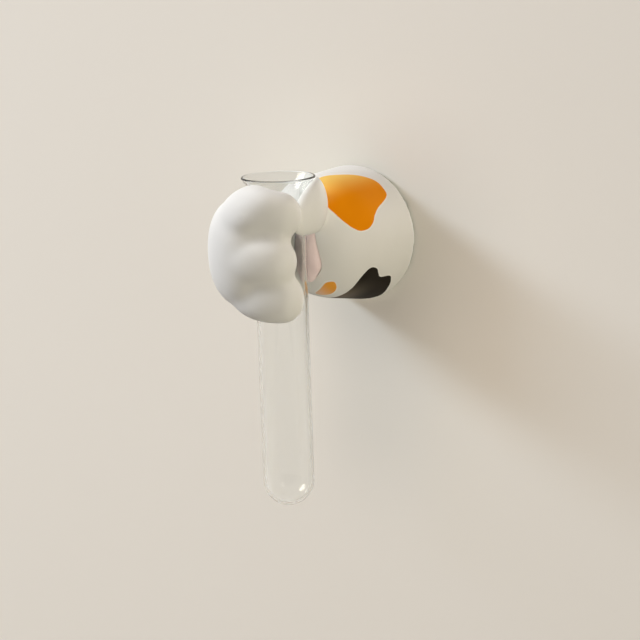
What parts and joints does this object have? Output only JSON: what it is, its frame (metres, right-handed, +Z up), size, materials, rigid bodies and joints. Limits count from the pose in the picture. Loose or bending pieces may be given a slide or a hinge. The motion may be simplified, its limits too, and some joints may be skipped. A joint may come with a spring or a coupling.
{
  "type": "wall hanging vase",
  "caption": "Wall vase shaped as a cat's forearm: the curled paw grips a flared glass tube that lifts out, and the arm hangs on a stud by a keyhole plate.",
  "frame": {"origin": "on the wall plane, at the axis of the hanging stud, the centre of the adhesive pad's rear face", "axes": "+Y into the wall, so the arm stands out along -Y; +Z up along the glass tube; +X to the right for someone who faces the wall"},
  "size_m": [0.0692, 0.1029, 0.163],
  "materials": {
    "painted_resin": "satin white cast resin with orange and black painted patches",
    "pink_silicone": "soft matte pink",
    "clear_glass": "clear polished glass",
    "steel": "zinc plated",
    "white_plastic": "moulded satin white",
    "clear_rubber": "translucent soft dot",
    "foam_tape": "white closed-cell foam tape"
  },
  "bodies": {
    "wall_mount": {"adhesive_pad": "foam_tape", "wall_plate": "white_plastic", "hanging_stud": "steel"},
    "paw": {"paw_casting": "painted_resin", "palm_pad": "pink_silicone", "toe_pad_upper": "pink_silicone", "toe_pad_middle": "pink_silicone", "toe_pad_lower": "pink_silicone", "thumb_pad": "pink_silicone", "back_cover": "white_plastic", "keyhole_plate": "steel", "keyhole_screw_1": "steel", "keyhole_screw_2": "steel", "cover_screw_1": "steel", "cover_screw_2": "steel", "cover_screw_3": "steel", "bumper_1": "clear_rubber", "bumper_2": "clear_rubber", "bumper_3": "clear_rubber"},
    "tube": {"glass_tube": "clear_glass"}
  },
  "joints": [
    {"name": "hang_lift", "type": "slide", "parent": "wall_mount", "child": "paw", "axis": [0, 0, 1], "range_m": [0, 0.01]},
    {"name": "tube_lift", "type": "slide", "parent": "paw", "child": "tube", "axis": [0, 0, 1], "range_m": [0, 0.172]}
  ]
}
